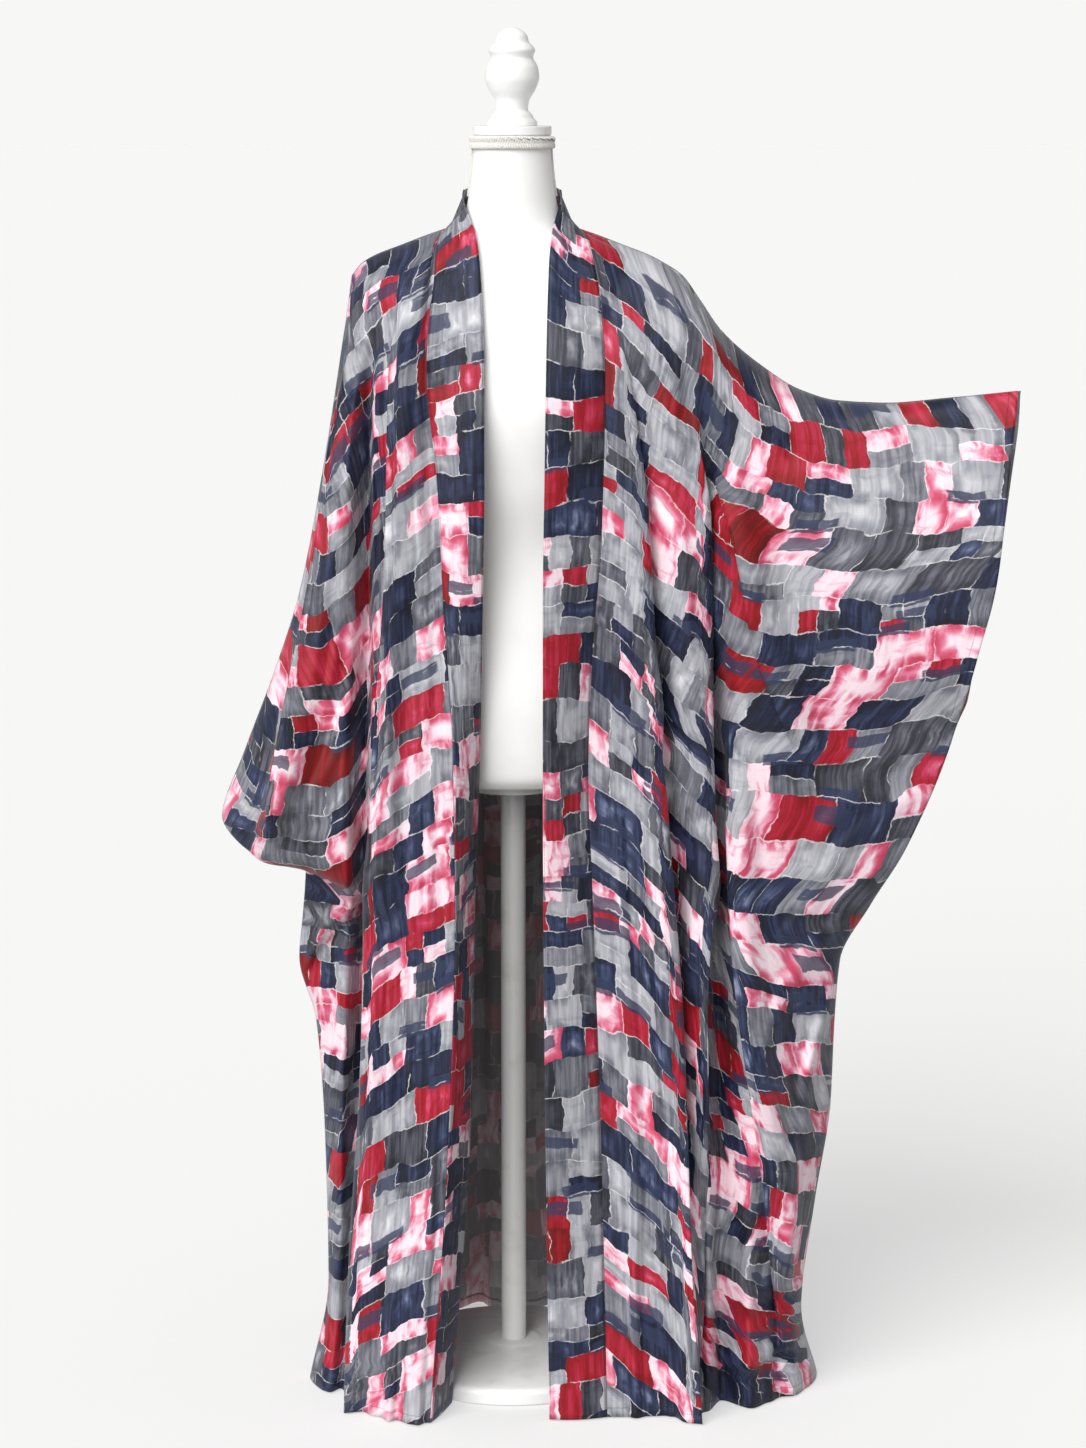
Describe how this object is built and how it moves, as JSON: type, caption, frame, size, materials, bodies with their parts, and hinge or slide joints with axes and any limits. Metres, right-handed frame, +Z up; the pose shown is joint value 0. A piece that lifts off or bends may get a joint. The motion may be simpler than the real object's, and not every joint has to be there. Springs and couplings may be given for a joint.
{
  "type": "kimono robe on a dress form",
  "caption": "Open floor-length kimono robe with wide batwing sleeves and a front band, hung on a limbless dress form with a turned neck finial on a pole and round base.",
  "frame": {"origin": "on the floor under the middle of the round base", "axes": "+Z up, the robe's open front faces -Y, the wearer's left (the held-out sleeve) is +X"},
  "size_m": [0.9759, 0.4608, 1.7126],
  "materials": {
    "printed_crepe": "satin matte",
    "printed_band": "satin matte",
    "form_cloth": "matte",
    "white_paint": "satin paint"
  },
  "bodies": {
    "root": {"kimono_back": "printed_crepe", "left_front": "printed_crepe", "right_front": "printed_crepe", "band_left": "printed_band", "band_right": "printed_band", "form_torso": "form_cloth", "neck_plate": "white_paint", "neck_finial": "white_paint", "bottom_plate": "white_paint", "stand_pole": "white_paint", "stand_base": "white_paint"}
  },
  "joints": []
}
